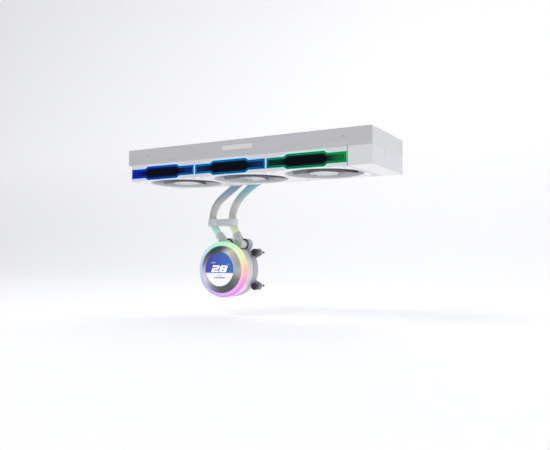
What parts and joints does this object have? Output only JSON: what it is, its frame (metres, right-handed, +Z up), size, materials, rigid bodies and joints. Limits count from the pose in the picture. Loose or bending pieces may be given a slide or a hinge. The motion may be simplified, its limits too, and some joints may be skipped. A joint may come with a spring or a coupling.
{
  "type": "closed-loop liquid cooler with radiator",
  "caption": "Slim white radiator with under-slung fans, mirrored side windows, end block, two sleeved hoses and a round pump head with a display.",
  "frame": {"origin": "centre of the middle fan bay screw pattern on the top face of the radiator", "axes": "+X along the radiator towards the end block, -Y towards the mirrored front, +Z up out of the top face"},
  "size_m": [0.4, 0.1547, 0.2293],
  "materials": {
    "brushed_rail": "brushed along its length, clear anodised",
    "white_paint": "satin white powder coat",
    "white_core": "white coated tubes and fins",
    "white_plastic": "white moulded plastic",
    "grey_plastic": "grey moulded plastic",
    "pump_shell": "pale lilac-grey moulded plastic",
    "white_screws": "white coated steel",
    "fan_shell": "gloss white moulded plastic",
    "fan_blades": "smoky translucent grey plastic",
    "hub_mirror": "silver mirror disc",
    "steel": "ground steel",
    "dark_magnet": "sintered magnet",
    "blue_mirror": "tinted mirror lit deep blue from behind",
    "azure_mirror": "tinted mirror lit azure from behind",
    "green_mirror": "tinted mirror lit green from behind",
    "light_strip": "milky light guide",
    "bronze": "sintered bronze",
    "copper": "bare copper",
    "ring_light": "milky ring lit in a rainbow",
    "circuit_board": "green circuit board",
    "spun_metal": "circularly spun",
    "display_glass": "clear cover glass",
    "display_panel": "lit display",
    "bracket_steel": "white-grey coated steel",
    "black_screws": "black oxide steel",
    "black_rubber": "moulded rubber",
    "white_fitting": "white moulded elbow",
    "collar_metal": "satin crimped collar",
    "hose_sleeve": "white braided sleeve over a rubber tube"
  },
  "bodies": {
    "root": {"blank_badge": "white_plastic", "bracket_screws": "black_screws", "bracket_springs": "steel", "cold_plate": "copper", "control_board": "circuit_board", "core_tubes": "white_core", "display_bezel": "spun_metal", "display_glass": "display_glass", "display_panel": "display_panel", "end_cover": "white_plastic", "fan_1_frame": "fan_shell", "fan_1_mirror_windows": "blue_mirror", "fan_2_frame": "fan_shell", "fan_2_mirror_windows": "azure_mirror", "fan_3_frame": "fan_shell", "fan_3_mirror_windows": "green_mirror", "fan_bearings": "bronze", "fan_light_strips": "light_strip", "fan_screws": "white_screws", "fan_stators": "copper", "fill_plug": "white_plastic", "fin_strips": "white_core", "front_rail": "brushed_rail", "header_plates": "white_paint", "hose_comb": "white_plastic", "left_hose": "hose_sleeve", "light_ring": "ring_light", "mounting_bracket": "bracket_steel", "plate_gasket": "black_rubber", "port_manifold": "grey_plastic", "port_tank": "white_paint", "pump_base": "pump_shell", "pump_shaft": "steel", "pump_shroud": "white_plastic", "pump_stator": "copper", "radiator_collars": "collar_metal", "radiator_elbows": "white_fitting", "rail_screws": "white_screws", "rear_rail": "brushed_rail", "return_tank": "white_paint", "right_hose": "hose_sleeve", "rotor_can": "grey_plastic", "tank_divider": "white_paint"},
    "fan_1_rotating": {"fan_1_rotor": "fan_blades", "fan_1_hub_mirror": "hub_mirror", "fan_1_shaft": "steel", "fan_1_magnet_ring": "dark_magnet"},
    "fan_2_rotating": {"fan_2_rotor": "fan_blades", "fan_2_hub_mirror": "hub_mirror", "fan_2_shaft": "steel", "fan_2_magnet_ring": "dark_magnet"},
    "fan_3_rotating": {"fan_3_rotor": "fan_blades", "fan_3_hub_mirror": "hub_mirror", "fan_3_shaft": "steel", "fan_3_magnet_ring": "dark_magnet"},
    "pump_rotating": {"impeller": "white_plastic"},
    "left_swivel": {"left_elbow": "white_fitting", "left_collar": "collar_metal"},
    "right_swivel": {"right_elbow": "white_fitting", "right_collar": "collar_metal"}
  },
  "joints": [
    {"name": "fan_1_spin", "type": "hinge", "parent": "root", "child": "fan_1_rotating", "pos_m": [-0.12, 0, -0.037], "axis": [0, 0, 1], "continuous": true},
    {"name": "fan_2_spin", "type": "hinge", "parent": "root", "child": "fan_2_rotating", "pos_m": [0, 0, -0.037], "axis": [0, 0, 1], "continuous": true},
    {"name": "fan_3_spin", "type": "hinge", "parent": "root", "child": "fan_3_rotating", "pos_m": [0.12, 0, -0.037], "axis": [0, 0, 1], "continuous": true},
    {"name": "impeller_spin", "type": "hinge", "parent": "root", "child": "pump_rotating", "pos_m": [-0.0778, 0.07, -0.1846], "axis": [0, 1, 0], "continuous": true},
    {"name": "left_elbow_swivel", "type": "hinge", "parent": "root", "child": "left_swivel", "pos_m": [-0.083, 0.0562, -0.1435], "axis": [0, 1, 0], "range_deg": [-8, 8], "deforming": ["left_hose"]},
    {"name": "right_elbow_swivel", "type": "hinge", "parent": "root", "child": "right_swivel", "pos_m": [-0.053, 0.0562, -0.1445], "axis": [0, 1, 0], "range_deg": [-8, 8], "deforming": ["right_hose"]}
  ]
}
